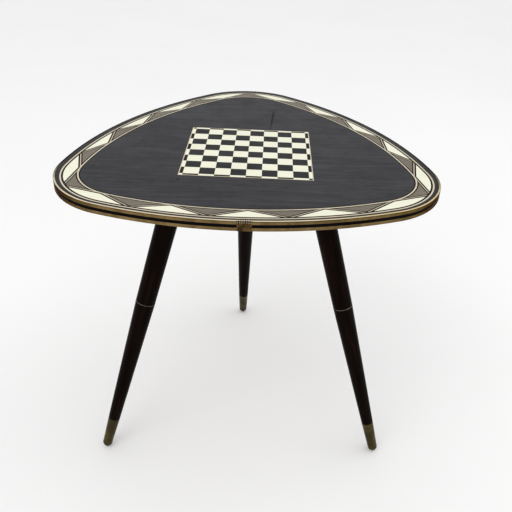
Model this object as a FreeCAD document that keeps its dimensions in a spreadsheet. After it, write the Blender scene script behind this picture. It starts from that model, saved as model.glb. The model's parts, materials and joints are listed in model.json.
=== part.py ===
import FreeCAD, Part
import Sketcher
import math
import os

Vector = FreeCAD.Vector
Rotation = FreeCAD.Rotation
Placement = FreeCAD.Placement

doc = FreeCAD.newDocument("chess_side_table")
sheet = doc.addObject("Spreadsheet::Sheet", "Sizes")

# Driving dimensions, in millimetres and degrees.
SIZES = (
    ("top_width", 610, "top across its two front corners"),
    ("corner_radius", 130, "rounding of the three corners of the top"),
    ("side_radius", 620, "bow of the three sides of the top"),
    ("table_height", 570, "floor to playing surface"),
    ("core_thickness", 14, "wood panel of the top"),
    ("veneer_thickness", 1, "inlaid face"),
    ("backing_thickness", 1, "sheet under the panel"),
    ("trim_wall", 2.8, "metal edging seen from above"),
    ("trim_rounding", 0.8, "outer edges of the edging"),
    ("channel_height", 5.2, "groove round the edging"),
    ("channel_depth", 1.4, "groove round the edging"),
    ("insert_recess", 0.2, "black strip below the face of the edging"),
    ("joint_shift", 5, "butt joint of the edging left of the middle of the front"),
    ("joint_gap", 0.4, "slit between the two ends of the edging"),
    ("clip_width", 21, "joint clip along the edge"),
    ("clip_base", 0.5, "lower edge of the joint clip above the underside"),
    ("clip_plate", 0.6, "sheet of the joint clip"),
    ("clip_tongue", 15, "tongue of the joint clip in the groove"),
    ("clip_teeth", 7, "teeth of the joint clip, bent over the edging"),
    ("tooth_width", 1.8, "one tooth of the joint clip"),
    ("tooth_reach", 2.2, "one tooth of the joint clip on the edging"),
    ("pin_count", 15, "nails that hold the edging"),
    ("pin_diameter", 1.6, "nails that hold the edging"),
    ("pin_bite", 12, "nails in the panel"),
    ("dark_band", 7.8, "outermost band of the border, where it is even"),
    ("inlay_forward", 3.4, "inlay inside that band in front of the middle of the top"),
    ("outer_string", 2.5, "light line outside the zigzag"),
    ("outer_line", 3, "black line outside the zigzag"),
    ("zigzag_zone", 20.9, "zigzag band"),
    ("inner_string", 2.4, "light line inside the zigzag"),
    ("inner_line", 2, "black line next to the field"),
    ("zigzag_repeats", 15, "ivory triangles round the border"),
    ("ivory_gap", 22.6, "between ivory triangles on the outer line"),
    ("ivory_tip_gap", 2.4, "tip of an ivory triangle to the inner light line"),
    ("ivory_edging", 2.6, "black line along the sides of the ivory triangles"),
    ("ribbon_width", 1.8, "light ribbon of the zigzag"),
    ("ribbon_edging", 2, "black line between the ribbon and the grey pieces"),
    ("grey_edging", 2, "black line along the foot of the grey pieces"),
    ("square_size", 25, "one square of the board"),
    ("rank_count", 8, "squares along one side of the board"),
    ("cell_width", 5.5, "narrow counter-changed cells round the squares"),
    ("board_string", 1.5, "light line round the board"),
    ("board_forward", 9, "board centre in front of the middle of the inlay"),
    ("board_turn", 2.2, "board off square to the top, clockwise from above, in degrees"),
    ("foot_radius", 306, "leg axes at the floor from the middle of the top"),
    ("leg_splay", 17.8, "leg axis off the vertical"),
    ("leg_top_diameter", 39, "leg under the top"),
    ("seam_diameter", 35, "leg at the joint half way up"),
    ("ferrule_top_diameter", 22, "upper end of the ferrule"),
    ("tip_diameter", 17.6, "lower end of the ferrule"),
    ("seam_height", 330, "joint of the leg from the floor, along the leg"),
    ("leg_edge", 0.7, "broken edges of the turned wood"),
    ("ring_thickness", 1.2, "metal ring in the joint of the leg"),
    ("ring_proud", 0.15, "metal ring beyond the wood"),
    ("washer_thickness", 1.5, "washer on top of the leg"),
    ("stud_diameter", 8, "threaded studs"),
    ("stud_hold", 30, "stud fixed in the wood"),
    ("stud_grip", 18, "stud screwed into its thread"),
    ("thread_clearance", 0.06, "radial play of a stud in its thread"),
    ("bush_diameter", 12, "threaded bush in the leg"),
    ("bush_length", 20, "threaded bush in the leg"),
    ("plate_diameter", 84, "mounting plate under the top"),
    ("plate_thickness", 3, "mounting plate under the top"),
    ("boss_diameter", 32, "slanted boss of the mounting plate"),
    ("boss_drop", 26, "slanted boss along the leg axis"),
    ("screw_circle", 32, "screws from the middle of the mounting plate"),
    ("screw_diameter", 4, "wood screws"),
    ("screw_bite", 11, "wood screws above the underside"),
    ("screw_head_diameter", 7.6, "wood screws"),
    ("screw_head_height", 2.2, "wood screws"),
    ("screw_play", 0.2, "radial play of a screw in the mounting plate"),
    ("ferrule_base", 5, "lower end of the ferrule from the floor, along the leg"),
    ("ferrule_length", 64, "metal sleeve on the foot"),
    ("ferrule_wall", 1.2, "metal sleeve on the foot"),
    ("ferrule_floor", 3, "closed end of the sleeve"),
    ("ferrule_rounding", 1.5, "lower edge of the sleeve"),
    ("nail_diameter", 1.6, "nail through the sleeve"),
    ("nail_drop", 9, "nail below the upper end of the sleeve"),
    ("nail_bite", 4, "nail in the wood"),
    ("nail_proud", 0.3, "nail head beyond the sleeve"),
    ("glide_radius", 7.6, "round of the glide under the foot"),
    ("glide_rise", 7, "middle of that round from the floor, along the leg"),
    ("glide_stem", 5, "stem of the glide in the sleeve"),
)
for row, (alias, number, note) in enumerate(SIZES, 1):
    sheet.set(f"A{row}", alias)
    sheet.set(f"B{row}", str(number))
    sheet.set(f"C{row}", note)
    sheet.setAlias(f"B{row}", alias)
doc.recompute()


def value(text):
    """Number of an expression in the sheet's names."""
    return float(sheet.evalExpression(text))


# Outline of the top: three corner arcs and three wide side arcs round the middle of the top.
REACH = "(Sizes.top_width / 2 - Sizes.corner_radius)"
CORNER_OUT = f"({REACH} * 2 / sqrt(3))"
ARC_GAP = "(Sizes.side_radius - Sizes.corner_radius)"
SIDE_BACK = f"(sqrt({ARC_GAP}^2 - {REACH}^2) - {CORNER_OUT} / 2)"
FRONT = f"(Sizes.side_radius - {SIDE_BACK} + Sizes.clip_plate)"
BACK = f"({CORNER_OUT} + Sizes.corner_radius)"
MIDDLE_Y = f"(({FRONT} - {BACK}) / 2)"

# Levels of the top above its underside, and of the underside above the floor.
CORE_FACE = "(Sizes.backing_thickness + Sizes.core_thickness)"
TOP_FACE = f"({CORE_FACE} + Sizes.veneer_thickness)"
UNDERSIDE = f"(Sizes.table_height - {TOP_FACE})"
CHANNEL_LOW = f"(({TOP_FACE} - Sizes.channel_height) / 2)"

# Bands of the border, from the outer edge inward.
BANDS = (
    "trim_wall",
    "dark_band",
    "outer_string",
    "outer_line",
    "zigzag_zone",
    "inner_string",
    "inner_line",
)


def inset(last_band):
    """Expression of the distance from the outer edge to the inner side of a band."""
    names = BANDS[: BANDS.index(last_band) + 1]
    return "(" + " + ".join("Sizes." + name for name in names) + ")"


# Stations along the axis of a leg, from the floor upward.
AXIS_LENGTH = f"({UNDERSIDE} / cos(Sizes.leg_splay))"
BOSS_FACE = f"({AXIS_LENGTH} - Sizes.boss_drop)"
LEG_TOP = f"({BOSS_FACE} - Sizes.washer_thickness)"
SEAM = "Sizes.seam_height"
RING_TOP = f"({SEAM} + Sizes.ring_thickness)"
FERRULE_TOP = "(Sizes.ferrule_base + Sizes.ferrule_length)"
FERRULE_FLOOR = "(Sizes.ferrule_base + Sizes.ferrule_floor)"
NAIL_HEIGHT = f"({FERRULE_TOP} - Sizes.nail_drop)"
LEG_RADIUS = "(Sizes.leg_top_diameter / 2)"
SEAM_RADIUS = "(Sizes.seam_diameter / 2)"
SLEEVE_RADIUS = "(Sizes.ferrule_top_diameter / 2)"
TIP_RADIUS = "(Sizes.tip_diameter / 2)"
STUD_RADIUS = "(Sizes.stud_diameter / 2)"
THREAD_RADIUS = f"({STUD_RADIUS} + Sizes.thread_clearance)"
BUSH_RADIUS = "(Sizes.bush_diameter / 2)"
MOUNT_RADIUS = f"(Sizes.foot_radius - {UNDERSIDE} * tan(Sizes.leg_splay))"


def sleeve_radius(station):
    """Expression of the outer radius of the tapered sleeve at a station of the leg."""
    share = f"({station} - Sizes.ferrule_base) / Sizes.ferrule_length"
    return f"({TIP_RADIUS} + ({SLEEVE_RADIUS} - {TIP_RADIUS}) * {share})"


LEGS = {"left": 210, "right": 330, "back": 90}
parts = []


def keep(obj, label):
    """Name a finished piece and add it to the list of pieces."""
    obj.Label = label
    parts.append(obj)
    return obj


def on_top(obj, middle=MIDDLE_Y):
    """Place a piece of the top, drawn round the middle of the top from its underside up."""
    obj.setExpression("Placement.Base.y", middle)
    obj.setExpression("Placement.Base.z", UNDERSIDE)


def on_inlay(obj):
    """Place a piece of the inlay, drawn round the middle of the inlay."""
    on_top(obj, f"{MIDDLE_Y} - Sizes.inlay_forward")


def on_board(obj):
    """Place a piece of the board, drawn square round the middle of the board."""
    obj.Placement = Placement(Vector(), Rotation(Vector(0, 0, -1), 1))
    obj.setExpression("Placement.Rotation.Angle", "Sizes.board_turn")
    on_top(obj, f"{MIDDLE_Y} - Sizes.inlay_forward - Sizes.board_forward")


def leg_place(azimuth):
    """Placement of a piece drawn along a leg axis from the floor up."""
    turn = math.radians(azimuth)
    out = value("Sizes.foot_radius")
    foot = Vector(out * math.cos(turn), value(MIDDLE_Y) + out * math.sin(turn), 0)
    lean = Rotation(Vector(0, 1, 0), -value("Sizes.leg_splay"))
    return Placement(foot, Rotation(Vector(0, 0, 1), azimuth) * lean)


def plate_place(azimuth):
    """Placement of a piece drawn round the point where a leg axis meets the underside."""
    turn = math.radians(azimuth)
    out = value(MOUNT_RADIUS)
    point = Vector(out * math.cos(turn), value(MIDDLE_Y) + out * math.sin(turn), value(UNDERSIDE))
    return Placement(point, Rotation(Vector(0, 0, 1), azimuth))


def new_body(name):
    return doc.addObject("PartDesign::Body", name)


def new_sketch(body, name, role, lift="0"):
    """Sketch on one of the body's origin planes, lifted along the plane's normal."""
    plane = next(item for item in body.Origin.OriginFeatures if item.Role == role)
    sketch = body.newObject("Sketcher::SketchObject", name)
    sketch.AttachmentSupport = (plane, [""])
    sketch.MapMode = "FlatFace"
    if lift != "0":
        sketch.setExpression("AttachmentOffset.Base.z", lift)
    return sketch


def tie(sketch, kind, references, text):
    """Add a dimension to a sketch and bind it to an expression."""
    index = sketch.addConstraint(Sketcher.Constraint(kind, *references, value(text)))
    sketch.setExpression(f"Constraints[{index}]", text)


def tie_point(sketch, geometry, end, across, up):
    """Fix a point of a sketch at two expressions measured from the sketch's origin."""
    for kind, axis, text in (("DistanceX", -2, across), ("DistanceY", -1, up)):
        if text == "0":
            sketch.addConstraint(Sketcher.Constraint("PointOnObject", geometry, end, axis))
        else:
            tie(sketch, kind, (-1, 1, geometry, end), text)


def draw_polygon(sketch, corners):
    """Closed polygon whose corners are pairs of expressions."""
    points = [Vector(value(across), value(up), 0) for across, up in corners]
    count = len(points)
    for index, point in enumerate(points):
        sketch.addGeometry(Part.LineSegment(point, points[(index + 1) % count]), False)
    for index in range(count):
        sketch.addConstraint(Sketcher.Constraint("Coincident", index, 2, (index + 1) % count, 1))
    for index, (across, up) in enumerate(corners):
        tie_point(sketch, index, 1, across, up)


def draw_circle(sketch, up, radius):
    """Circle on the sketch's upright axis."""
    circle = Part.Circle(Vector(0, value(up), 0), Vector(0, 0, 1), value(radius))
    index = sketch.addGeometry(circle, False)
    tie_point(sketch, index, 3, "0", up)
    tie(sketch, "Radius", (index,), radius)


def side_half_angle():
    return math.asin(value(REACH) / value(ARC_GAP))


def outline_arcs(depth):
    """Centre, radius, start and end angle of the outline's arcs, counter-clockwise from the back."""
    half_side = side_half_angle()
    half_corner = math.pi / 3 - half_side
    arcs = []
    for third in range(3):
        corner = math.pi / 2 + third * 2 * math.pi / 3
        middle = corner + math.pi / 3
        corner_centre = Vector(math.cos(corner), math.sin(corner), 0) * value(CORNER_OUT)
        side_centre = Vector(math.cos(middle), math.sin(middle), 0) * -value(SIDE_BACK)
        corner_radius = value("Sizes.corner_radius") - depth
        side_radius = value("Sizes.side_radius") - depth
        arcs.append((corner_centre, corner_radius, corner - half_corner, corner + half_corner))
        arcs.append((side_centre, side_radius, middle - half_side, middle + half_side))
    return arcs


def draw_outline(sketch, depth, forward="0"):
    """Outline of the top in a sketch, drawn inward and moved to the front by expressions."""
    first = sketch.GeometryCount
    for centre, radius, start, end in outline_arcs(value(depth)):
        circle = Part.Circle(centre - Vector(0, value(forward), 0), Vector(0, 0, 1), radius)
        sketch.addGeometry(Part.ArcOfCircle(circle, start, end), False)
    for step in range(6):
        after = first + (step + 1) % 6
        sketch.addConstraint(Sketcher.Constraint("Tangent", first + step, 2, after, 1))
    for step in (2, 4):
        sketch.addConstraint(Sketcher.Constraint("Equal", first, first + step))
        sketch.addConstraint(Sketcher.Constraint("Equal", first + 1, first + 1 + step))
    tie(sketch, "Radius", (first,), f"Sizes.corner_radius - {depth}")
    tie(sketch, "Radius", (first + 1,), f"Sizes.side_radius - {depth}")
    tie_point(sketch, first, 3, "0", f"{CORNER_OUT} - {forward}")
    tie_point(sketch, first + 2, 3, f"-{REACH}", f"-{CORNER_OUT} / 2 - {forward}")
    tie_point(sketch, first + 4, 3, REACH, f"-{CORNER_OUT} / 2 - {forward}")


def pad(body, sketch, length, name="Pad"):
    feature = body.newObject("PartDesign::Pad", name)
    feature.Profile = sketch
    feature.setExpression("Length", length)
    doc.recompute()
    return feature


def pocket(body, sketch, length, name):
    """Cut along the sketch's normal; the cut has to take something away."""
    before = body.Shape.Volume
    feature = body.newObject("PartDesign::Pocket", name)
    feature.Profile = sketch
    feature.Reversed = True
    feature.setExpression("Length", length)
    doc.recompute()
    if body.Shape.Volume >= before:
        raise RuntimeError(f"{body.Name} {name} cuts nothing")
    return feature


def sheet_body(name, outer, inner, low, thickness, forward="0"):
    """Flat piece or ring that follows the outline between two insets; the inner one may be moved."""
    body = new_body(name)
    sketch = new_sketch(body, name + "_outline", "XY_Plane", low)
    draw_outline(sketch, outer)
    if inner is not None:
        draw_outline(sketch, inner, forward)
    pad(body, sketch, thickness)
    return body


def turned_body(name, corners):
    """Piece turned round the leg axis from a profile of radius and station pairs."""
    body = new_body(name)
    sketch = new_sketch(body, name + "_profile", "XZ_Plane")
    draw_polygon(sketch, corners)
    feature = body.newObject("PartDesign::Revolution", "Revolution")
    feature.Profile = sketch
    feature.ReferenceAxis = (sketch, ["V_Axis"])
    feature.Angle = 360
    doc.recompute()
    return body


def sector(body, name, corners, angle, turn="0"):
    """Part turn of a profile round the body's upright axis, half of it to each side of a plane."""
    sketch = new_sketch(body, name + "_profile", "YZ_Plane")
    sketch.AttachmentOffset = Placement(Vector(), Rotation(Vector(0, 1, 0), 1))
    sketch.setExpression("AttachmentOffset.Rotation.Angle", turn)
    draw_polygon(sketch, corners)
    feature = body.newObject("PartDesign::Revolution", name)
    feature.Profile = sketch
    feature.ReferenceAxis = (sketch, ["V_Axis"])
    feature.Midplane = True
    feature.setExpression("Angle", angle)
    doc.recompute()
    return feature


def primitive(kind, name, sizes, place=None):
    """Part primitive whose sizes are expressions."""
    obj = doc.addObject("Part::" + kind, name)
    for key, text in sizes.items():
        obj.setExpression(key, text)
    if place is not None:
        obj.Placement = place
    return obj


def boolean(kind, name, base, tool):
    obj = doc.addObject("Part::" + kind, name)
    obj.Base = base
    obj.Tool = tool
    return obj


def compound(name, members):
    obj = doc.addObject("Part::Compound", name)
    obj.Links = members
    return obj


def shaped(name, shape):
    obj = doc.addObject("Part::Feature", name)
    obj.Shape = shape
    return obj


def outline_face(depth):
    """Flat face inside the outline, drawn inward by a number."""
    edges = []
    for centre, radius, start, end in outline_arcs(depth):
        circle = Part.Circle(centre, Vector(0, 0, 1), radius)
        edges.append(Part.ArcOfCircle(circle, start, end).toShape())
    return Part.Face(Part.Wire(edges))


def station(length, depth):
    """Arc number and angle at a length along an inset outline, counted from the middle of the front."""
    arcs = outline_arcs(depth)
    front = len(arcs) // 2
    travel = length + arcs[front][1] * side_half_angle()
    index = front
    while True:
        _, radius, start, end = arcs[index % 6]
        span = radius * (end - start)
        if travel < 0:
            index -= 1
            _, radius, start, end = arcs[index % 6]
            travel += radius * (end - start)
        elif travel >= span:
            travel -= span
            index += 1
        else:
            return index % 6, start + travel / radius


def length_at(arc, angle, depth):
    """Length along an inset outline, from the middle of the front, to an angle on an arc of it."""
    arcs = outline_arcs(depth)
    index = len(arcs) // 2
    length = -arcs[index][1] * side_half_angle()
    while index % 6 != arc:
        _, radius, start, end = arcs[index % 6]
        length += radius * (end - start)
        index += 1
    return length + arcs[arc][1] * (angle - arcs[arc][2])


def point_at(arc, angle, depth):
    centre, radius, _, _ = outline_arcs(depth)[arc]
    return centre + Vector(math.cos(angle), math.sin(angle), 0) * radius


def perimeter(depth):
    return sum(radius * (end - start) for _, radius, start, end in outline_arcs(depth))


def edge_pins():
    """Nails through the floor of the edging's groove, square to the outline."""
    count = int(value("Sizes.pin_count"))
    start_depth = value("Sizes.channel_depth")
    length = value("Sizes.trim_wall - Sizes.channel_depth + Sizes.pin_bite")
    level = Vector(0, 0, value(TOP_FACE) / 2)
    pitch = perimeter(start_depth) / count
    pins = []
    for number in range(count):
        arc, angle = station((number + 0.5) * pitch, start_depth)
        inward = Vector(-math.cos(angle), -math.sin(angle), 0)
        head = point_at(arc, angle, start_depth) + level
        pins.append(Part.makeCylinder(value("Sizes.pin_diameter") / 2, length, head, inward))
    return Part.makeCompound(pins)


def screw_points():
    """Screw centres at the underside, in the frame of the top."""
    frame = Placement(Vector(0, value(MIDDLE_Y), value(UNDERSIDE)), Rotation()).inverse()
    circle = value("Sizes.screw_circle")
    points = []
    for azimuth in LEGS.values():
        for quarter in range(4):
            turn = math.radians(45 + 90 * quarter)
            local = Vector(circle * math.cos(turn), circle * math.sin(turn), 0)
            points.append(frame.multVec(plate_place(azimuth).multVec(local)))
    return points


def screw_shanks():
    """Shanks of the plate screws inside the top."""
    radius = value("Sizes.screw_diameter") / 2
    return Part.makeCompound([
        Part.makeCylinder(radius, value("Sizes.screw_bite"), point) for point in screw_points()
    ])


def plate_screws():
    """Pan-head wood screws through the mounting plates."""
    plate = value("Sizes.plate_thickness")
    head = value("Sizes.screw_head_height")
    screws = []
    for point in screw_points():
        shank = Part.makeCylinder(
            value("Sizes.screw_diameter") / 2,
            plate + value("Sizes.screw_bite"),
            point - Vector(0, 0, plate),
        )
        cap = Part.makeCylinder(
            value("Sizes.screw_head_diameter") / 2, head, point - Vector(0, 0, plate + head)
        )
        screws.append(cap.fuse(shank).removeSplitter())
    return Part.makeCompound(screws)


def zigzag_wedge(tip, left, right, grow, far):
    """Prism of a triangle whose two sides run outward from the tip, moved apart by a width."""
    to_left = (left - tip).normalize()
    to_right = (right - tip).normalize()
    middle = (to_left + to_right).normalize()
    sine = to_right.cross(middle).Length
    apex = tip - middle * (grow / sine)
    reach = far / to_right.dot(middle)
    corners = [apex, apex + to_right * reach, apex + to_left * reach]
    face = Part.Face(Part.makePolygon(corners + [apex]))
    return face.extrude(Vector(0, 0, value("Sizes.veneer_thickness")))


def zigzag_band():
    """Ivory, black, light and grey pieces of the zigzag, as compounds of separate veneers."""
    outer = value(inset("outer_line"))
    inner = value(inset("zigzag_zone"))
    count = int(value("Sizes.zigzag_repeats"))
    half_gap = value("Sizes.ivory_gap") / 2
    line = value("Sizes.ivory_edging")
    light_line = line + value("Sizes.ribbon_width")
    grey_line = light_line + value("Sizes.ribbon_edging")
    tip_depth = inner - value("Sizes.ivory_tip_gap")
    foot_depth = inner - value("Sizes.grey_edging")
    rise = Vector(0, 0, value("Sizes.veneer_thickness"))
    pitch = perimeter(inner) / count
    valleys = []
    for number in range(count):
        arc, angle = station((number + 0.5) * pitch, inner)
        valleys.append(length_at(arc, angle, outer))
    grown = {width: [] for width in (0, line, light_line, grey_line)}
    for number in range(count):
        tip = point_at(*station(number * pitch, inner), tip_depth)
        left = point_at(*station(valleys[number - 1] + half_gap, outer), outer)
        right = point_at(*station(valleys[number] - half_gap, outer), outer)
        for width, wedges in grown.items():
            wedges.append(zigzag_wedge(tip, left, right, width, 2 * (inner - outer)))
    band = outline_face(outer).cut(outline_face(inner)).extrude(rise)
    upper_band = outline_face(outer).cut(outline_face(foot_depth)).extrude(rise)
    wedge_sets = [wedges[0].multiFuse(wedges[1:]) for wedges in grown.values()]
    ivory_wedges, inner_wedges, ribbon_wedges, outer_wedges = wedge_sets
    ivory = band.common(ivory_wedges)
    inside_line = band.common(inner_wedges).cut(ivory_wedges)
    light = band.common(ribbon_wedges).cut(inner_wedges)
    grey = upper_band.cut(outer_wedges)
    black = band.cut(ribbon_wedges).cut(grey)
    pieces = {"ivory": ivory, "light": light, "grey": grey}
    pieces = {name: Part.makeCompound(shape.Solids) for name, shape in pieces.items()}
    pieces["black"] = Part.makeCompound(inside_line.Solids + black.Solids)
    return pieces


# Panel, backing and the metal edging with its hidden nails.
pins = shaped("edge_pins_tool", edge_pins())
shanks = shaped("screw_shanks_tool", screw_shanks())
holes = compound("panel_holes", [pins, shanks])
PANEL = inset("trim_wall")
panel = sheet_body("panel_blank", PANEL, None, "Sizes.backing_thickness", "Sizes.core_thickness")
core = keep(boolean("Cut", "top_core", panel, holes), "top_core")
on_top(core)
backing_blank = sheet_body("backing_blank", PANEL, None, "0", "Sizes.backing_thickness")
backing = keep(boolean("Cut", "backing_sheet", backing_blank, shanks), "backing_sheet")
on_top(backing)
trim_pins = keep(shaped("trim_pins", edge_pins()), "trim_pins")
on_top(trim_pins)

trim_body = sheet_body("trim_blank", "0", PANEL, "0", TOP_FACE)
trim_pad = trim_body.Tip
rounded = []
for number, edge in enumerate(trim_pad.Shape.Edges, 1):
    flat = edge.BoundBox.ZLength < 1e-6
    outer_radii = (value("Sizes.corner_radius"), value("Sizes.side_radius"))
    if flat and any(abs(edge.Curve.Radius - radius) < 1e-6 for radius in outer_radii):
        rounded.append(f"Edge{number}")
trim_fillet = trim_body.newObject("PartDesign::Fillet", "trim_rounding")
trim_fillet.Base = (trim_pad, rounded)
trim_fillet.setExpression("Radius", "Sizes.trim_rounding")
doc.recompute()
channel = new_sketch(trim_body, "channel_outline", "XY_Plane", CHANNEL_LOW)
draw_outline(channel, "(-Sizes.channel_depth)")
draw_outline(channel, "Sizes.channel_depth")
pocket(trim_body, channel, "Sizes.channel_height", "channel")


def joint_slot(body, name, width):
    """Upright cut through a ring at the butt joint of the edging."""
    sketch = new_sketch(body, name + "_outline", "XY_Plane")
    left = f"(-Sizes.joint_shift - {width} / 2)"
    right = f"(-Sizes.joint_shift + {width} / 2)"
    near = f"(-{FRONT} - Sizes.trim_wall)"
    far = f"(-{FRONT} + 2 * Sizes.trim_wall)"
    draw_polygon(sketch, [(left, near), (right, near), (right, far), (left, far)])
    pocket(body, sketch, TOP_FACE, name)


joint_slot(trim_body, "butt_joint", "Sizes.joint_gap")
edge_trim = keep(boolean("Cut", "edge_trim", trim_body, pins), "edge_trim")
on_top(edge_trim)

trim_insert = sheet_body(
    "trim_insert", "Sizes.insert_recess", "Sizes.channel_depth", CHANNEL_LOW, "Sizes.channel_height"
)
joint_slot(trim_insert, "clip_room", "Sizes.clip_tongue")
keep(trim_insert, "trim_insert")
on_top(trim_insert)

# Clip over the butt joint: a bowed plate with teeth bent over the edging and a tongue in the groove.
clip = new_body("trim_joint_clip")
TURN = "180 / pi / Sizes.side_radius"
CLIP_IN = "(-Sizes.side_radius)"
CLIP_OUT = f"({CLIP_IN} - Sizes.clip_plate)"
TONGUE_IN = f"({CLIP_IN} + Sizes.channel_depth)"
TOOTH_IN = f"({CLIP_IN} + Sizes.tooth_reach)"
CLIP_TOP = f"({TOP_FACE} + Sizes.clip_plate)"
CHANNEL_TOP = f"({CHANNEL_LOW} + Sizes.channel_height)"


def rectangle(near, far, low, high):
    return [(near, low), (far, low), (far, high), (near, high)]


plate_profile = rectangle(CLIP_OUT, CLIP_IN, "Sizes.clip_base", CLIP_TOP)
tongue_profile = rectangle(CLIP_OUT, TONGUE_IN, CHANNEL_LOW, CHANNEL_TOP)
tooth_profile = rectangle(CLIP_OUT, TOOTH_IN, TOP_FACE, CLIP_TOP)
TOOTH_SPREAD = f"((Sizes.clip_width - Sizes.tooth_width) * {TURN})"
sector(clip, "plate", plate_profile, f"Sizes.clip_width * {TURN}")
sector(clip, "tongue", tongue_profile, f"Sizes.clip_tongue * {TURN}")
tooth = sector(clip, "tooth", tooth_profile, f"Sizes.tooth_width * {TURN}", f"-{TOOTH_SPREAD} / 2")
teeth = clip.newObject("PartDesign::PolarPattern", "teeth")
clip_axis = next(item for item in clip.Origin.OriginFeatures if item.Role == "Z_Axis")
teeth.Originals = [tooth]
teeth.Axis = (clip_axis, [""])
teeth.setExpression("Occurrences", "Sizes.clip_teeth")
teeth.setExpression("Angle", TOOTH_SPREAD)
clip.Tip = teeth

# The clip sits on the bowed front of the top, turned round the centre of that bow to the butt joint.
clip_turn = math.degrees(math.asin(value("Sizes.joint_shift / Sizes.side_radius")))
clip_centre = Vector(0, value(MIDDLE_Y) + value(SIDE_BACK), value(UNDERSIDE))
keep(clip, "trim_joint_clip")
clip.Placement = Placement(clip_centre, Rotation(Vector(0, 0, 1), -clip_turn))

# Inlaid face: border bands, field and board, all one veneer thick.
VENEER = "Sizes.veneer_thickness"
dark_band = sheet_body(
    "outer_dark_band", PANEL, inset("dark_band"), CORE_FACE, VENEER, "Sizes.inlay_forward"
)
on_top(keep(dark_band, "outer_dark_band"))
RINGS = (
    ("outer_light_line", "dark_band", "outer_string"),
    ("outer_black_line", "outer_string", "outer_line"),
    ("inner_light_line", "zigzag_zone", "inner_string"),
    ("inner_black_line", "inner_string", "inner_line"),
)
for name, outside, band in RINGS:
    ring = keep(sheet_body(name, inset(outside), inset(band), CORE_FACE, VENEER), name)
    on_inlay(ring)

band_lift = Placement(Vector(0, 0, value(CORE_FACE)), Rotation())
for name, shape in zigzag_band().items():
    shape.Placement = band_lift
    obj = keep(shaped("zigzag_" + name, Part.makeCompound([shape])), "zigzag_" + name)
    on_inlay(obj)

BOARD_HALF = "(Sizes.rank_count * Sizes.square_size / 2)"
CELL_HALF = f"({BOARD_HALF} + Sizes.cell_width)"
FIELD_HALF = f"({CELL_HALF} + Sizes.board_string)"


def board_square(half):
    """Corners of a square round the middle of the board."""
    return rectangle(f"(-{half})", half, f"(-{half})", half)


def turned_square(half):
    """Corners of that square as the board lies in the inlay."""
    long = f"{half} * (cos(Sizes.board_turn) + sin(Sizes.board_turn))"
    short = f"{half} * (cos(Sizes.board_turn) - sin(Sizes.board_turn))"
    corners = ((f"-{long}", f"-{short}"), (short, f"-{long}"), (long, short), (f"-{short}", long))
    return [(across, f"{up} - Sizes.board_forward") for across, up in corners]


field = new_body("field_veneer")
field_sketch = new_sketch(field, "field_outline", "XY_Plane", CORE_FACE)
draw_outline(field_sketch, inset("inner_line"))
pad(field, field_sketch, VENEER)
board_room = new_sketch(field, "board_room_outline", "XY_Plane", CORE_FACE)
draw_polygon(board_room, turned_square(FIELD_HALF))
pocket(field, board_room, VENEER, "board_room")
on_inlay(keep(field, "field_veneer"))

board_line = new_body("board_light_line")
line_sketch = new_sketch(board_line, "line_outline", "XY_Plane", CORE_FACE)
draw_polygon(line_sketch, board_square(FIELD_HALF))
pad(board_line, line_sketch, VENEER)
line_room = new_sketch(board_line, "line_room_outline", "XY_Plane", CORE_FACE)
draw_polygon(line_room, board_square(CELL_HALF))
pocket(board_line, line_room, VENEER, "line_room")
on_board(keep(board_line, "board_light_line"))


def board_edge(index):
    """Expressions of the start and the width of a column or rank; first and last are narrow."""
    count = int(value("Sizes.rank_count"))
    if index == 0:
        return f"(-{CELL_HALF})", "Sizes.cell_width"
    if index == count + 1:
        return BOARD_HALF, "Sizes.cell_width"
    return f"({index - 1} * Sizes.square_size - {BOARD_HALF})", "Sizes.square_size"


board_tiles = {}
tile_count = int(value("Sizes.rank_count")) + 2
for column in range(tile_count):
    for rank in range(tile_count):
        left, width = board_edge(column)
        near, depth = board_edge(rank)
        sizes = {"Length": width, "Width": depth, "Height": VENEER}
        tile = primitive("Box", f"tile_{column}_{rank}", sizes)
        tile.setExpression("Placement.Base.x", left)
        tile.setExpression("Placement.Base.y", near)
        tile.setExpression("Placement.Base.z", CORE_FACE)
        tone = "light" if (column + rank) % 2 == 0 else "dark"
        narrow = column in (0, tile_count - 1) or rank in (0, tile_count - 1)
        kind = "cells" if narrow else "squares"
        board_tiles.setdefault(f"board_{tone}_{kind}", []).append(tile)
for name, tiles in board_tiles.items():
    on_board(keep(compound(name, tiles), name))

screws = keep(shaped("plate_screws", plate_screws()), "plate_screws")
on_top(screws)


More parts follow.
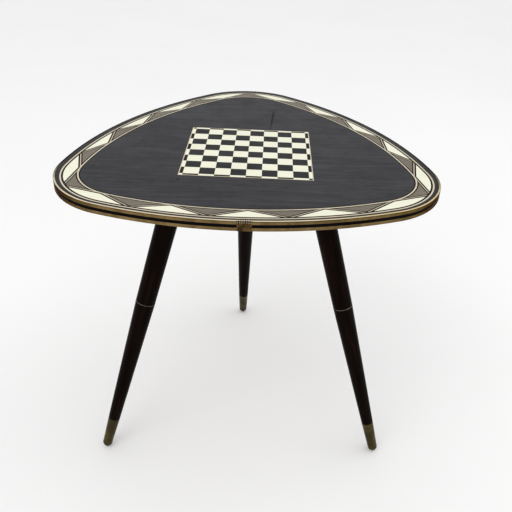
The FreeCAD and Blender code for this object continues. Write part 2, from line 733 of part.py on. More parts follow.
def leg_plate(name):
    """Round mounting plate with a threaded boss square to the leg axis."""
    splay = value("Sizes.leg_splay")
    lean = Rotation(Vector(0, 1, 0), -splay)
    boss_start = lean.multVec(Vector(0, 0, -value("Sizes.boss_drop")))
    boss_length = "(Sizes.boss_drop + Sizes.boss_diameter)"
    plate_radius = "Sizes.plate_diameter / 2"
    below = primitive("Cylinder", name + "_below", {"Radius": plate_radius, "Height": boss_length})
    below.setExpression("Placement.Base.z", f"-{boss_length}")
    boss = primitive(
        "Cylinder",
        name + "_boss",
        {"Radius": "Sizes.boss_diameter / 2", "Height": boss_length},
        Placement(boss_start, lean),
    )
    boss_cut = boolean("Common", name + "_boss_cut", boss, below)
    flange = primitive(
        "Cylinder", name + "_flange", {"Radius": plate_radius, "Height": "Sizes.plate_thickness"}
    )
    flange.setExpression("Placement.Base.z", "-Sizes.plate_thickness")
    blank = boolean("Fuse", name + "_blank", flange, boss_cut)
    bore = primitive(
        "Cylinder",
        name + "_bore",
        {"Radius": THREAD_RADIUS, "Height": "Sizes.bush_length"},
        Placement(boss_start, lean),
    )
    tools = [bore]
    hole_radius = "Sizes.screw_diameter / 2 + Sizes.screw_play"
    hole_sizes = {"Radius": hole_radius, "Height": "3 * Sizes.plate_thickness"}
    for quarter in range(4):
        hole = primitive("Cylinder", f"{name}_hole_{quarter}", hole_sizes)
        turn = 45 + 90 * quarter
        hole.setExpression("Placement.Base.x", f"Sizes.screw_circle * cos({turn})")
        hole.setExpression("Placement.Base.y", f"Sizes.screw_circle * sin({turn})")
        hole.setExpression("Placement.Base.z", "-2 * Sizes.plate_thickness")
        tools.append(hole)
    return boolean("Cut", name, blank, compound(name + "_holes", tools))


def upper_leg(name):
    """Upper half of a leg, with a hole for the top stud and one for the threaded bush."""
    hold = f"({LEG_TOP} - Sizes.stud_hold)"
    bush_top = f"({RING_TOP} + Sizes.bush_length)"
    return turned_body(name, [
        (BUSH_RADIUS, RING_TOP),
        (f"({SEAM_RADIUS} - Sizes.leg_edge)", RING_TOP),
        (SEAM_RADIUS, f"({RING_TOP} + Sizes.leg_edge)"),
        (LEG_RADIUS, f"({LEG_TOP} - Sizes.leg_edge)"),
        (f"({LEG_RADIUS} - Sizes.leg_edge)", LEG_TOP),
        (STUD_RADIUS, LEG_TOP),
        (STUD_RADIUS, hold),
        ("0", hold),
        ("0", bush_top),
        (BUSH_RADIUS, bush_top),
    ])


def nail_hole(body):
    """Hole for the nail of the sleeve, from inside the wood outward."""
    sketch = new_sketch(body, "nail_outline", "YZ_Plane", "Sizes.nail_bite")
    draw_circle(sketch, NAIL_HEIGHT, "Sizes.nail_diameter / 2")
    pocket(body, sketch, SLEEVE_RADIUS, "nail_hole")


def lower_leg(name):
    """Lower half of a leg, with a hole for the joint stud and a tapered end inside the sleeve."""
    hold = f"({SEAM} - Sizes.stud_hold)"
    body = turned_body(name, [
        ("0", FERRULE_FLOOR),
        (f"({sleeve_radius(FERRULE_FLOOR)} - Sizes.ferrule_wall)", FERRULE_FLOOR),
        (f"({SLEEVE_RADIUS} - Sizes.ferrule_wall)", FERRULE_TOP),
        (SLEEVE_RADIUS, FERRULE_TOP),
        (SEAM_RADIUS, f"({SEAM} - Sizes.leg_edge)"),
        (f"({SEAM_RADIUS} - Sizes.leg_edge)", SEAM),
        (STUD_RADIUS, SEAM),
        (STUD_RADIUS, hold),
        ("0", hold),
    ])
    nail_hole(body)
    return body


def stud(name, seat, thread_start):
    """Threaded stud fixed below its seat and screwed in above the start of the thread."""
    low = f"({seat} - Sizes.stud_hold)"
    high = f"({thread_start} + Sizes.stud_grip)"
    return turned_body(name, rectangle("0", STUD_RADIUS, low, high))


def disc(name, outer_radius, low, high):
    """Washer, ring or bush that a stud passes through."""
    return turned_body(name, rectangle(THREAD_RADIUS, outer_radius, low, high))


def ferrule(name):
    """Tapered metal sleeve, closed at the foot but for the hole of the glide's stem."""
    stem = "(Sizes.glide_stem / 2)"
    body = turned_body(name, [
        (stem, "Sizes.ferrule_base"),
        (f"({TIP_RADIUS} - Sizes.ferrule_rounding)", "Sizes.ferrule_base"),
        (sleeve_radius("(Sizes.ferrule_base + Sizes.ferrule_rounding)"),
         "(Sizes.ferrule_base + Sizes.ferrule_rounding)"),
        (SLEEVE_RADIUS, FERRULE_TOP),
        (f"({SLEEVE_RADIUS} - Sizes.ferrule_wall)", FERRULE_TOP),
        (f"({sleeve_radius(FERRULE_FLOOR)} - Sizes.ferrule_wall)", FERRULE_FLOOR),
        (stem, FERRULE_FLOOR),
    ])
    nail_hole(body)
    return body


def nail(name):
    """Nail that holds the sleeve, its head just proud of it."""
    body = new_body(name)
    sketch = new_sketch(body, "nail_outline", "YZ_Plane", "Sizes.nail_bite")
    draw_circle(sketch, NAIL_HEIGHT, "Sizes.nail_diameter / 2")
    pad(body, sketch, f"({sleeve_radius(NAIL_HEIGHT)} + Sizes.nail_proud - Sizes.nail_bite)")
    return body


def glide(name):
    """Domed glide with a stem in the sleeve and a small flat that stands on the floor."""
    ball = primitive("Sphere", name + "_ball", {"Radius": "Sizes.glide_radius"})
    ball.setExpression("Placement.Base.z", "Sizes.glide_rise")
    slab_height = "Sizes.glide_radius + Sizes.ferrule_base"
    slab = primitive(
        "Cylinder", name + "_slab", {"Radius": "Sizes.tip_diameter", "Height": slab_height}
    )
    slab.setExpression("Placement.Base.z", "-Sizes.glide_radius")
    dome = boolean("Common", name + "_dome", ball, slab)
    stem = primitive(
        "Cylinder", name + "_stem", {"Radius": "Sizes.glide_stem / 2", "Height": "Sizes.ferrule_floor"}
    )
    stem.setExpression("Placement.Base.z", "Sizes.ferrule_base")
    blank = boolean("Fuse", name + "_blank", dome, stem)
    floor_side = "4 * Sizes.tip_diameter"
    side = value(floor_side)
    floor_turn = Placement(Vector(), Rotation(Vector(0, 1, 0), value("Sizes.leg_splay")))
    floor = primitive(
        "Box",
        name + "_floor",
        {"Length": floor_side, "Width": floor_side, "Height": floor_side},
        floor_turn * Placement(Vector(-side / 2, -side / 2, -side), Rotation()),
    )
    return boolean("Cut", name, blank, floor)


# Legs: mounting plate, two screwed halves and the shod foot, three times.
for leg, azimuth in LEGS.items():
    plate = keep(leg_plate(f"leg_plate_{leg}"), f"leg_plate_{leg}")
    plate.Placement = plate_place(azimuth)
    bush_top = f"({RING_TOP} + Sizes.bush_length)"
    ring_radius = f"({SEAM_RADIUS} + Sizes.ring_proud)"
    pieces = {
        "upper_leg": upper_leg(f"upper_leg_{leg}"),
        "top_stud": stud(f"top_stud_{leg}", LEG_TOP, BOSS_FACE),
        "top_washer": disc(f"top_washer_{leg}", LEG_RADIUS, LEG_TOP, BOSS_FACE),
        "joint_bush": disc(f"joint_bush_{leg}", BUSH_RADIUS, RING_TOP, bush_top),
        "joint_ring": disc(f"joint_ring_{leg}", ring_radius, SEAM, RING_TOP),
        "lower_leg": lower_leg(f"lower_leg_{leg}"),
        "joint_stud": stud(f"joint_stud_{leg}", SEAM, RING_TOP),
        "ferrule": ferrule(f"ferrule_{leg}"),
        "ferrule_nail": nail(f"ferrule_nail_{leg}"),
        "foot_glide": glide(f"foot_glide_{leg}"),
    }
    for name, piece in pieces.items():
        keep(piece, f"{name}_{leg}").Placement = leg_place(azimuth)

doc.recompute()
for obj in doc.Objects:
    if "Invalid" in obj.State or "Error" in obj.State:
        raise RuntimeError(f"{obj.Name} failed: {obj.State}")
for obj in parts:
    if obj.Shape.isNull() or not obj.Shape.isValid():
        raise RuntimeError(f"{obj.Label} has no valid shape")

os.makedirs("parts", exist_ok=True)
for obj in parts:
    obj.Shape.exportStep(f"parts/{obj.Label}.step")
    box = obj.Shape.BoundBox
    print(f"{obj.Label}: {len(obj.Shape.Solids)} solids, {obj.Shape.Volume / 1000:.2f} cm3, "
          f"z {box.ZMin:.2f} to {box.ZMax:.2f}")
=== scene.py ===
import json
import math

import bpy
from mathutils import Matrix, Vector


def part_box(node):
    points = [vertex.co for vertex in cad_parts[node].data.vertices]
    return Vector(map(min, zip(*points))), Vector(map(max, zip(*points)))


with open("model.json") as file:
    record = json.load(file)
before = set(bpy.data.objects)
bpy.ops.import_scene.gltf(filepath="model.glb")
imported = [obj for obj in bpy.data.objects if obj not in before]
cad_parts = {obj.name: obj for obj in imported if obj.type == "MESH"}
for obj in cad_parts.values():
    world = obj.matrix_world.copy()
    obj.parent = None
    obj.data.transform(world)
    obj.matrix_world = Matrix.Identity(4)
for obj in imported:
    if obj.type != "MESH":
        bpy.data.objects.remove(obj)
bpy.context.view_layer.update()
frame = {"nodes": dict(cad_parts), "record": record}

nodes = frame["nodes"]

# The legs stand three-fold round the middle of the top, which lies ahead of the origin.
MIDDLE_Y = -0.03406
FOOT_RADIUS = 0.306
SPLAY = math.radians(17.8)
LEG_AZIMUTHS = {"left": 210, "right": 330, "back": 90}

# Tones of the wood, plastic and metal, and of painted highlights, a painted reflection and painted shade,
# in linear colour.
IVORY = (0.85, 0.84, 0.67)
TAN = (0.63, 0.55, 0.40)
RIBBON = (0.50, 0.43, 0.31)
GREY = (0.165, 0.143, 0.108)
FIELD = (0.038, 0.038, 0.043)
SQUARE = (0.0135, 0.0135, 0.0155)
BAND = (0.021, 0.021, 0.022)
BLACK = (0.0035, 0.003, 0.003)
CELL = (0.013, 0.0085, 0.005)
PANEL = (0.40, 0.27, 0.15)
BACKING = (0.16, 0.085, 0.045)
LEG_TONES = (
    (0.30, (0.0016, 0.0008, 0.0005)),
    (0.52, (0.0045, 0.0020, 0.0012)),
    (0.76, (0.018, 0.0070, 0.0042)),
)
STRIP = (0.003, 0.0025, 0.0025)
GLIDE = (0.05, 0.043, 0.028)
SIDE_BRASS, DULL_SIDE = (0.235, 0.160, 0.068), (0.140, 0.092, 0.036)
SLEEVE_BRASS, DULL_SLEEVE = (0.105, 0.080, 0.029), (0.045, 0.035, 0.014)
THREAD_BRASS, DULL_THREAD = (0.20, 0.175, 0.145), (0.032, 0.024, 0.016)
CLIP_BRONZE, DULL_CLIP = (0.15, 0.090, 0.030), (0.045, 0.026, 0.011)
PLATE_STEEL, DULL_PLATE = (0.20, 0.20, 0.20), (0.07, 0.07, 0.07)
STEEL, DULL_STEEL = (0.55, 0.55, 0.56), (0.30, 0.29, 0.28)
# Painted highlight: the bright tone of the edging lip's upper face, also used at the bends of the clip's
# teeth.
LIP_HIGHLIGHT = (0.90, 0.81, 0.62)
# Painted golden reflection on the lip towards the right front.
GOLD_REFLECTION = (0.80, 0.68, 0.36)
# Painted shade on the lip along the back and the sides.
BACK_LIP_SHADE = (0.014, 0.010, 0.006)
# Painted highlight on the up-facing tops of the clip's teeth.
TOOTH_HIGHLIGHT = (0.95, 0.88, 0.70)
RUBBED_CLIP = (0.19, 0.12, 0.040)
# Brown of the painted shade on the edging and the clip.
SHADE_TONE = (0.045, 0.030, 0.014)
EDGE_TINT = (0.30, 0.22, 0.11, 1.0)

# Streaks to the metre that grain and brushing have along X, Y and Z of a piece.
VENEER_GRAIN = (26, 420, 26)
FIELD_GRAIN = (14, 190, 14)
PANEL_GRAIN = (12, 160, 12)
BACKING_GRAIN = (10, 150, 10)
LEG_GRAIN = (150, 150, 9)
BRUSHING = (90, 90, 900)
SLEEVE_BRUSHING = (60, 60, 700)

# Where most values of a noise lie, those of two noises added up, and the tones of a colour in a noise.
NOISE_MIDDLE = 0.5
MOST_NOISE = (0.3, 0.7)
TWO_NOISES = (0.7, 1.3)
TONE_STOPS = (0.30, 0.5, 0.72)


class Shader:
    """A node material with a short way to add and join nodes."""

    def __init__(self, name):
        self.name = name
        self.material = bpy.data.materials.new(name)
        self.material.use_nodes = True
        self.tree = self.material.node_tree
        self.surface = self.tree.nodes["Principled BSDF"]

    def add(self, kind, inputs=None, **settings):
        node = self.tree.nodes.new("ShaderNode" + kind)
        for key, setting in settings.items():
            setattr(node, key, setting)
        for key, source in (inputs or {}).items():
            self.put(node.inputs[key], source)
        return node

    def put(self, socket, source):
        if isinstance(source, bpy.types.NodeSocket):
            self.tree.links.new(source, socket)
        else:
            socket.default_value = source

    def set(self, **inputs):
        for key, source in inputs.items():
            self.put(self.surface.inputs[key.replace("_", " ")], source)

    def base(self):
        """What feeds the base colour so far."""
        return self.surface.inputs["Base Color"].links[0].from_socket

    def coords(self, place=None, stretch=(1, 1, 1)):
        """Position on the object in metres, in a piece's own frame if given, stretched along its axes."""
        vector = self.add("TexCoord").outputs["Object"]
        if place is not None:
            location, turn = place
            inputs = {"Vector": vector, "Location": location, "Rotation": turn}
            vector = self.add("Mapping", inputs, vector_type="TEXTURE").outputs["Vector"]
        if stretch != (1, 1, 1):
            inputs = {"Vector": vector, "Scale": stretch}
            vector = self.add("Mapping", inputs, vector_type="POINT").outputs["Vector"]
        return vector

    def split(self, vector):
        """X, Y and Z of a vector."""
        return self.add("SeparateXYZ", {"Vector": vector}).outputs

    def facing(self):
        """How far the surface faces up: 0 on a wall, 1 on a level upper face."""
        return self.split(self.add("NewGeometry").outputs["Normal"])["Z"]

    def distance(self, vector, point):
        return self.add("VectorMath", {0: vector, 1: point}, operation="DISTANCE").outputs["Value"]

    def noise(self, vector, scale=1.0, detail=4.0, rough=0.55, distort=0.0):
        inputs = {
            "Vector": vector,
            "Scale": scale,
            "Detail": detail,
            "Roughness": rough,
            "Distortion": distort,
        }
        return self.add("TexNoise", inputs).outputs["Fac"]

    def ramp(self, factor, stops):
        node = self.add("ValToRGB", {"Fac": factor})
        points = node.color_ramp.elements
        while len(points) < len(stops):
            points.new(0.5)
        for point, (where, colour) in zip(points, stops):
            point.position = where
            point.color = (*colour, 1.0)
        return node.outputs["Color"]

    def remap(self, factor, low, high, to_low, to_high):
        inputs = {
            "Value": factor,
            "From Min": low,
            "From Max": high,
            "To Min": to_low,
            "To Max": to_high,
        }
        return self.add("MapRange", inputs, clamp=True).outputs["Result"]

    def between(self, factor, rise, fall):
        """1 between two soft limits, 0 outside them."""
        risen = self.remap(factor, *rise, 0.0, 1.0)
        return self.math("MULTIPLY", risen, self.remap(factor, *fall, 1.0, 0.0))

    def math(self, operation, first, second=0.0):
        node = self.add("Math", operation=operation)
        self.put(node.inputs[0], first)
        self.put(node.inputs[1], second)
        return node.outputs[0]

    def blend(self, factor, first, second):
        node = self.add("Mix", data_type="RGBA", blend_type="MIX")
        self.put(node.inputs[0], factor)
        for socket, source in ((node.inputs[6], first), (node.inputs[7], second)):
            self.put(socket, source if isinstance(source, bpy.types.NodeSocket) else (*source, 1.0))
        return node.outputs[2]

    def bump(self, height, strength, distance):
        inputs = {"Height": height, "Strength": strength, "Distance": distance}
        self.set(Normal=self.add("Bump", inputs).outputs["Normal"])


def scaled(values, share):
    return tuple(share * v for v in values)


def shifted(values, amount):
    return tuple(v + amount for v in values)


def spread(colour, amount):
    """Three tones round one colour, dark to light."""
    tones = (scaled(colour, 1 - amount), colour, scaled(colour, 1 + amount))
    return tuple(zip(TONE_STOPS, tones))


# Wood. Scales are marks to the metre, and relief is in metres.
STREAK_SHARE = 0.72
DRIFT_SHARE = 0.28
DRIFT_SCALE = 9.0
SMUDGE_SCALE = 26.0
PORE_FINENESS = 4.5
PORE_LIMITS = (0.34, 0.46)
PIT_SHADE = 0.45
PIT_DEPTH = 0.6
WOOD_ROUGH = (-0.07, 0.09)
GRAIN_RELIEF = 0.0006


def wood(name, tones, stretch, rough, place=None, lift=0.25, gloss=0.35, pores=0.5):
    """Lacquered wood: long streaks of grain, fine pores and a slow drift of tone."""
    s = Shader(name)
    plain = s.coords(place)
    streak = s.noise(s.coords(place, stretch), detail=6.0, rough=0.62, distort=0.25)
    pore = s.noise(s.coords(place, scaled(stretch, PORE_FINENESS)), detail=2.0, rough=0.5)
    drift = s.noise(plain, DRIFT_SCALE, detail=2.0)
    smudge = s.noise(plain, SMUDGE_SCALE, detail=5.0, rough=0.6)

    grain = s.math("MULTIPLY", streak, STREAK_SHARE)
    grain = s.math("ADD", grain, s.math("MULTIPLY", drift, DRIFT_SHARE))
    pit = s.remap(pore, *PORE_LIMITS, pores, 0.0)
    darkest = tones[0][1]
    colour = s.blend(pit, s.ramp(grain, tones), scaled(darkest, PIT_SHADE))
    s.set(Base_Color=colour, Specular_IOR_Level=gloss)
    s.set(Roughness=s.remap(smudge, *MOST_NOISE, *shifted(WOOD_ROUGH, rough)))
    s.bump(s.math("SUBTRACT", streak, s.math("MULTIPLY", pit, PIT_DEPTH)), lift, GRAIN_RELIEF)
    return s


# Field: the crack runs back from the board and slants to the right, and the spot lies just ahead of the
# board's left front corner.
TOP_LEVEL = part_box("field_veneer")[1].z
RUB_GRAIN = (3.0, 60, 3.0)
RUB_LIMITS = (0.52, 0.78)
RUB_STRENGTH = 0.5
RUB_SHADE = 2.0
CRACK_X = 0.0398
CRACK_START = 0.0620
CRACK_END = 0.1660
CRACK_SLANT = 0.102
CRACK_HALF = (0.0013, 0.0024)
CRACK_DEEPENS = 0.045
CRACK_TIP = 0.004
CRACK_FAINT = 0.35
CRACK_STRENGTH = 0.95
CRACK_TONE = (0.004, 0.002, 0.002)
WOBBLE_SCALE = 42.0
WOBBLE = 0.004
SPOT = (-0.109, -0.165, TOP_LEVEL)
SPOT_RADIUS = (0.0018, 0.0034)
SPOT_STRENGTH = 0.9
SPOT_TONE = (0.004, 0.004, 0.004)


def field_wood(name):
    """Ebonised field with its grain across the table, pale rub marks, one hair crack and one spot."""
    s = wood(name, spread(FIELD, 0.45), FIELD_GRAIN, rough=0.45, lift=0.12, gloss=0.05)
    plain = s.coords()
    axes = s.split(plain)
    rub = s.noise(s.coords(stretch=RUB_GRAIN), detail=5.0, rough=0.7)
    rub = s.remap(rub, *RUB_LIMITS, 0.0, RUB_STRENGTH)
    colour = s.blend(rub, s.base(), scaled(FIELD, RUB_SHADE))

    wobble = s.math("SUBTRACT", s.noise(plain, WOBBLE_SCALE, detail=3.0), NOISE_MIDDLE)
    wobble = s.math("MULTIPLY", wobble, WOBBLE)
    slant = s.math("MULTIPLY", s.math("SUBTRACT", axes["Y"], CRACK_START), CRACK_SLANT)
    line = s.math("ADD", s.math("ADD", slant, CRACK_X), wobble)
    off = s.math("ABSOLUTE", s.math("SUBTRACT", axes["X"], line))
    across = s.remap(off, *CRACK_HALF, 1.0, 0.0)
    begun = s.math("GREATER_THAN", axes["Y"], CRACK_START)
    deep = s.remap(axes["Y"], CRACK_START, CRACK_START + CRACK_DEEPENS, CRACK_FAINT, 1.0)
    ending = s.remap(axes["Y"], CRACK_END - CRACK_TIP, CRACK_END, 1.0, 0.0)
    crack = s.math("MULTIPLY", s.math("MULTIPLY", across, begun), s.math("MULTIPLY", deep, ending))
    colour = s.blend(s.math("MULTIPLY", crack, CRACK_STRENGTH), colour, CRACK_TONE)

    spot = s.remap(s.distance(plain, SPOT), *SPOT_RADIUS, SPOT_STRENGTH, 0.0)
    s.set(Base_Color=s.blend(spot, colour, SPOT_TONE))
    return s


# Metal. Scales are marks to the metre, and relief is in metres.
TARNISH_SCALE = 34.0
TARNISH_LIMIT = 0.62
SPECK_SCALE = 420.0
SPECK_LIMITS = (0.60, 0.74)
SPECK_STRENGTH = 0.45
SPECK_SHADE = 0.4
METAL_ROUGH = (0.14, -0.08)
BRUSH_STRENGTH = 0.08
BRUSH_RELIEF = 0.0003


def metal(name, bright, dull, rough, wear, brush=BRUSHING, place=None):
    """Worn metal: brushing, clouds of tarnish and small dark specks."""
    s = Shader(name)
    plain = s.coords(place)
    cloud = s.noise(plain, TARNISH_SCALE, detail=6.0, rough=0.65)
    lines = s.noise(s.coords(place, brush), detail=3.0, rough=0.6)
    speck = s.noise(plain, SPECK_SCALE, detail=3.0, rough=0.6)

    tarnish_and_shade = s.remap(cloud, NOISE_MIDDLE - wear, TARNISH_LIMIT, 1.0, 0.0)
    colour = s.blend(tarnish_and_shade, bright, dull)
    speck = s.remap(speck, *SPECK_LIMITS, 0.0, SPECK_STRENGTH)
    colour = s.blend(speck, colour, scaled(dull, SPECK_SHADE))
    s.set(Base_Color=colour, Metallic=1.0)
    s.set(Roughness=s.remap(s.math("ADD", cloud, lines), *TWO_NOISES, *shifted(METAL_ROUGH, rough)))
    s.bump(lines, BRUSH_STRENGTH, BRUSH_RELIEF)
    return s


# Joint clip: its front, its upper edge and its middle along the edge.
clip_low, clip_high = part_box("trim_joint_clip")
CLIP_FRONT = clip_low.y
CLIP_TOP = clip_high.z
CLIP_X = (clip_low.x + clip_high.x) / 2
CLIP_MIDDLE = (CLIP_X, CLIP_FRONT, CLIP_TOP)
CLIP_HALF = (clip_high.x - clip_low.x) / 2

# Edging: its painted highlight, painted reflection and painted shade fade between two distances, in metres
# along X or Y or below the top.
PATCH_SCALE = 55.0
SHADED_ENDS = (0.22, 0.30)
END_SHADE_STRENGTH = 0.7
UNDER_LIP_SHADE = ((0.0004, 0.0009), (0.0012, 0.0022))
UNDER_LIP_SHADE_STRENGTH = (0.35, 0.8)
GOLD_REFLECTION_REACH = (0.10, 0.20)
GOLD_REFLECTION_STRENGTH = 0.8
BACK_SHADE_REACH = (-0.180, -0.105)
BACK_SHADE_RAGGED = 0.12
LIP_FACING = (0.70, 0.97)
CLIP_SHADE = 0.0015
CLIP_SHADE_STRENGTH = 0.9


def edging(name):
    """Brass edging: walls darkened by painted shade towards the ends, under the lip and round the clip, and
    a lip with a painted highlight along the front, a painted golden reflection towards the right and
    painted shade along the back.
    """
    s = metal(name, SIDE_BRASS, DULL_SIDE, rough=0.40, wear=0.10)
    plain = s.coords()
    axes = s.split(plain)
    patch = s.noise(plain, PATCH_SCALE, detail=4.0, rough=0.6)

    # Painted shade darkens the walls towards the left and right ends.
    sideways = s.math("ABSOLUTE", axes["X"])
    wall = s.blend(s.remap(sideways, *SHADED_ENDS, 0.0, END_SHADE_STRENGTH), s.base(), SHADE_TONE)
    # Painted shade in a thin, patchy line on the wall just below the lip.
    below = s.math("SUBTRACT", TOP_LEVEL, axes["Z"])
    patchy = s.remap(patch, *MOST_NOISE, *UNDER_LIP_SHADE_STRENGTH)
    wall = s.blend(s.math("MULTIPLY", s.between(below, *UNDER_LIP_SHADE), patchy), wall, SHADE_TONE)

    # The lip's upper face carries a painted highlight, patchy in tone.
    lip = s.ramp(patch, spread(LIP_HIGHLIGHT, 0.10))
    # Painted golden reflection: the lip turns gold along X towards the right.
    lip = s.blend(s.remap(axes["X"], *GOLD_REFLECTION_REACH, 0.0, GOLD_REFLECTION_STRENGTH), lip, GOLD_REFLECTION)
    # Painted shade darkens the lip from the front corners towards the back, with a ragged edge.
    ragged = s.math("MULTIPLY", s.math("SUBTRACT", patch, NOISE_MIDDLE), BACK_SHADE_RAGGED)
    tarnish_and_shade = s.remap(s.math("ADD", axes["Y"], ragged), *BACK_SHADE_REACH, 0.0, 1.0)
    lip = s.blend(tarnish_and_shade, lip, BACK_LIP_SHADE)

    # Up-facing parts of the edging take the lip with its painted highlight; the walls keep their brass.
    colour = s.blend(s.remap(s.facing(), *LIP_FACING, 0.0, 1.0), wall, lip)
    # Painted shade on the edging in a narrow band right round the clip.
    from_clip = s.distance(plain, CLIP_MIDDLE)
    by_clip = s.remap(from_clip, CLIP_HALF, CLIP_HALF + CLIP_SHADE, CLIP_SHADE_STRENGTH, 0.0)
    s.set(Base_Color=s.blend(by_clip, colour, SHADE_TONE), Specular_Tint=EDGE_TINT)
    return s


# Marks on the clip, rubbed patches with a painted shadow line and painted highlights: they fade between two
# distances, in metres below its upper edge or behind its front.
CLIP_PATCH_SCALE = 190.0
RUBBED_LIMITS = (0.52, 0.62)
RUBBED_STRENGTH = 0.45
SEAM_SHADOW = ((0.0006, 0.0010), (0.0016, 0.0020))
SEAM_SHADOW_STRENGTH = 0.9
BEND_HIGHLIGHTS = ((0.0020, 0.0024), (0.0032, 0.0036))
BEND_HIGHLIGHT_WAVE = (0.0, 0.6)
BEND_HIGHLIGHT_STRENGTH = 0.4
TOOTH_PITCH = 0.0032
TOOTH_FACING = (0.3, 0.9)
TOOTH_START = (0.0003, 0.0006)


def clip_metal(name):
    """Bronzed clip, brown on its plate with rubbed patches, a painted shadow just below its upper edge, and
    painted highlights at the bends of the teeth and on the up-facing tops of the teeth that lie on the
    edging.
    """
    s = metal(name, CLIP_BRONZE, DULL_CLIP, rough=0.45, wear=0.05)
    plain = s.coords()
    axes = s.split(plain)
    patch = s.noise(plain, CLIP_PATCH_SCALE, detail=2.0, rough=0.5)
    rubbed = s.remap(patch, *RUBBED_LIMITS, 0.0, RUBBED_STRENGTH)
    colour = s.blend(rubbed, s.base(), RUBBED_CLIP)

    below = s.math("SUBTRACT", CLIP_TOP, axes["Z"])
    # Painted shadow in a thin line just below the clip's upper edge.
    colour = s.blend(s.math("MULTIPLY", s.between(below, *SEAM_SHADOW), SEAM_SHADOW_STRENGTH), colour, SHADE_TONE)
    # Painted highlights at the bends of the teeth, one per tooth, in a row below the shadow line.
    along = s.math("SUBTRACT", axes["X"], CLIP_X)
    wave = s.math("COSINE", s.math("MULTIPLY", along, 2 * math.pi / TOOTH_PITCH))
    wave = s.remap(wave, *BEND_HIGHLIGHT_WAVE, 0.0, BEND_HIGHLIGHT_STRENGTH)
    colour = s.blend(s.math("MULTIPLY", s.between(below, *BEND_HIGHLIGHTS), wave), colour, LIP_HIGHLIGHT)

    # Painted highlight on the up-facing tops of the teeth, behind the clip's front.
    behind = s.math("SUBTRACT", axes["Y"], CLIP_FRONT)
    flat = s.remap(s.facing(), *TOOTH_FACING, 0.0, 1.0)
    tooth_highlight_mask = s.math("MULTIPLY", flat, s.remap(behind, *TOOTH_START, 0.0, 1.0))
    s.set(Base_Color=s.blend(tooth_highlight_mask, colour, TOOTH_HIGHLIGHT))
    return s


# Plastic. Scales are marks to the metre, and relief is in metres.
MOTTLE_SCALE = 60.0
DUST_SCALE = 700.0
DUST_LIMITS = (0.62, 0.72)
DUST_STRENGTH = 0.25
DUST_PALER = 0.03
PLASTIC_ROUGH = (-0.08, 0.08)
DUST_LIFT = 0.05
DUST_RELIEF = 0.0002


def plastic(name, colour, rough, gloss):
    """Moulded plastic with a slightly uneven, dusty surface."""
    s = Shader(name)
    plain = s.coords()
    mottle = s.noise(plain, MOTTLE_SCALE, detail=5.0, rough=0.6)
    dust = s.noise(plain, DUST_SCALE, detail=2.0)
    dusty = s.remap(dust, *DUST_LIMITS, 0.0, DUST_STRENGTH)
    tone = s.blend(dusty, s.ramp(mottle, spread(colour, 0.35)), shifted(colour, DUST_PALER))
    s.set(Base_Color=tone, Specular_IOR_Level=gloss)
    s.set(Roughness=s.remap(mottle, *MOST_NOISE, *shifted(PLASTIC_ROUGH, rough)))
    s.bump(dust, DUST_LIFT, DUST_RELIEF)
    return s


def veneer(name, tone, amount, rough, **finish):
    return wood(name, spread(tone, amount), VENEER_GRAIN, rough, **finish)


def leg_frame(azimuth):
    """Foot point and turn of a leg's own frame, its axis along Z."""
    turn = math.radians(azimuth)
    foot = Vector((FOOT_RADIUS * math.cos(turn), MIDDLE_Y + FOOT_RADIUS * math.sin(turn), 0.0))
    rotation = Matrix.Rotation(turn, 3, "Z") @ Matrix.Rotation(-SPLAY, 3, "Y")
    return foot, rotation.to_euler("XYZ")


def leg_wood(name, place):
    return wood(name, LEG_TONES, LEG_GRAIN, rough=0.34, place=place, lift=0.18, gloss=0.02, pores=0.4)


def sleeve_metal(name, place):
    return metal(name, SLEEVE_BRASS, DULL_SLEEVE, rough=0.40, wear=0.06, brush=SLEEVE_BRUSHING, place=place)


shaders = [
    field_wood("ebonised_wood"),
    veneer("black_wood", BLACK, 0.5, rough=0.45, lift=0.1, gloss=0.02),
    veneer("ivory_wood", IVORY, 0.07, rough=0.36, lift=0.08, gloss=0.4, pores=0.12),
    veneer("band_wood", BAND, 0.45, rough=0.45, lift=0.1, gloss=0.08),
    veneer("square_wood", SQUARE, 0.45, rough=0.45, lift=0.1, gloss=0.08),
    veneer("cell_wood", CELL, 0.45, rough=0.45, lift=0.1, gloss=0.04),
    veneer("grey_wood", GREY, 0.3, rough=0.42, lift=0.12, gloss=0.15, pores=0.35),
    veneer("light_wood", TAN, 0.16, rough=0.38, lift=0.1, pores=0.2),
    veneer("ribbon_wood", RIBBON, 0.16, rough=0.38, lift=0.1, pores=0.2),
    wood("panel_wood", spread(PANEL, 0.3), PANEL_GRAIN, rough=0.6),
    wood("backing_wood", spread(BACKING, 0.35), BACKING_GRAIN, rough=0.55),
    edging("edging_brass"),
    clip_metal("clip_bronze"),
    plastic("insert_plastic", STRIP, rough=0.55, gloss=0.02),
    metal("plate_steel", PLATE_STEEL, DULL_PLATE, rough=0.42, wear=0.05),
    metal("steel", STEEL, DULL_STEEL, rough=0.3, wear=0.0),
    metal("thread_brass", THREAD_BRASS, DULL_THREAD, rough=0.42, wear=0.12),
    plastic("glide_plastic", GLIDE, rough=0.5, gloss=0.3),
]
for leg, azimuth in LEG_AZIMUTHS.items():
    place = leg_frame(azimuth)
    shaders += [leg_wood(f"leg_wood_{leg}", place), sleeve_metal(f"ferrule_brass_{leg}", place)]
materials = {shader.name: shader.material for shader in shaders}

# Veneers whose tone differs a little from the rest of their kind.
VARIANTS = {
    "outer_dark_band": "band_wood",
    "board_dark_squares": "square_wood",
    "board_dark_cells": "cell_wood",
    "zigzag_light": "ribbon_wood",
}
for entry in frame["record"]["subparts"]:
    node = entry["node"]
    slot = VARIANTS.get(node, entry["material_slot"])
    if slot not in materials:
        # Grain and brushing follow the leg, so each leg and sleeve has a material of its own.
        slot += "_" + node.rsplit("_", 1)[1]
    mesh = nodes[node].data
    mesh.materials.clear()
    mesh.materials.append(materials[slot])

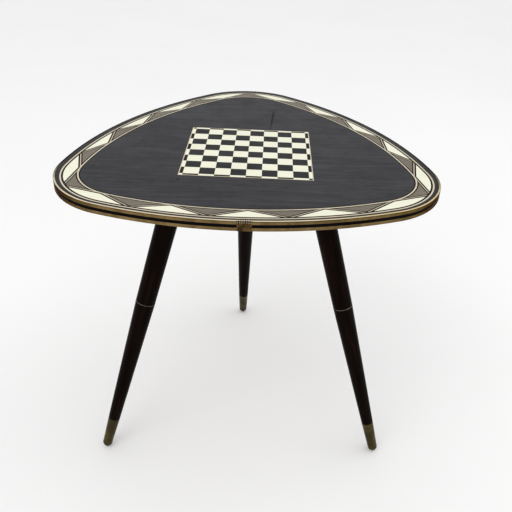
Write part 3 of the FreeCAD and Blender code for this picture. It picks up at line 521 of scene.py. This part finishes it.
# Plain pale floor, a little below the feet.
FLOOR_HALF = 20.0
FLOOR_DROP = 0.0005
FLOOR_SCALE = 1.5
FLOOR_TONES = ((0.3, (0.95, 0.95, 0.95)), (0.7, (0.97, 0.97, 0.97)))
floor_mesh = bpy.data.meshes.new("floor")
corners = [(x * FLOOR_HALF, y * FLOOR_HALF, 0) for x, y in ((-1, -1), (1, -1), (1, 1), (-1, 1))]
floor_mesh.from_pydata(corners, [], [(0, 1, 2, 3)])
floor = bpy.data.objects.new("floor", floor_mesh)
bpy.context.scene.collection.objects.link(floor)
floor.location.z = -FLOOR_DROP
paint = Shader("floor_paint")
paint_tone = paint.ramp(paint.noise(paint.coords(), FLOOR_SCALE, detail=3.0), FLOOR_TONES)
paint.set(Base_Color=paint_tone, Roughness=0.85, Specular_IOR_Level=0.1)
floor_mesh.materials.append(paint.material)

# Soft studio light: an even pale surround and two large panels overhead.
SURROUND_STRENGTH = 0.90
world = bpy.data.worlds.new("surround")
bpy.context.scene.world = world
world.use_nodes = True
surround = world.node_tree.nodes["Background"]
surround.inputs["Color"].default_value = (1.0, 1.0, 1.0, 1.0)
surround.inputs["Strength"].default_value = SURROUND_STRENGTH


def panel_light(name, place, aim, size, power):
    data = bpy.data.lights.new(name, "AREA")
    data.shape = "SQUARE"
    data.size = size
    data.energy = power
    lamp = bpy.data.objects.new(name, data)
    bpy.context.scene.collection.objects.link(lamp)
    lamp.location = place
    lamp.rotation_euler = (Vector(aim) - Vector(place)).to_track_quat("-Z", "Y").to_euler()


panel_light("key_panel", place=(-1.3, -1.5, 2.6), aim=(0.0, 0.0, 0.45), size=1.8, power=14.0)
panel_light("fill_panel", place=(1.9, 0.4, 2.4), aim=(0.0, 0.0, 0.4), size=2.0, power=8.0)

# Camera at the photograph's view.
YAW, PITCH, ROLL = math.radians(1.579), math.radians(31.507), math.radians(2.220)
EYE = (-0.0082, -1.0294 + MIDDLE_Y, 0.9844)
FOCAL_PIXELS = 632.92
IMAGE_PIXELS = 512
SENSOR_WIDTH = 36.0
forward = Vector((math.sin(YAW) * math.cos(PITCH), math.cos(YAW) * math.cos(PITCH), -math.sin(PITCH)))
level = Vector((math.cos(YAW), -math.sin(YAW), 0.0))
upward = level.cross(forward)
right = level * math.cos(ROLL) + upward * math.sin(ROLL)
up = upward * math.cos(ROLL) - level * math.sin(ROLL)
camera_data = bpy.data.cameras.new("camera")
camera_data.sensor_width = SENSOR_WIDTH
camera_data.lens = SENSOR_WIDTH * FOCAL_PIXELS / IMAGE_PIXELS
camera = bpy.data.objects.new("camera", camera_data)
bpy.context.scene.collection.objects.link(camera)
rotation = Matrix((right, up, -forward)).transposed()
camera.matrix_world = Matrix.Translation(EYE) @ rotation.to_4x4()
bpy.context.scene.camera = camera
bpy.context.scene.view_settings.view_transform = "Standard"
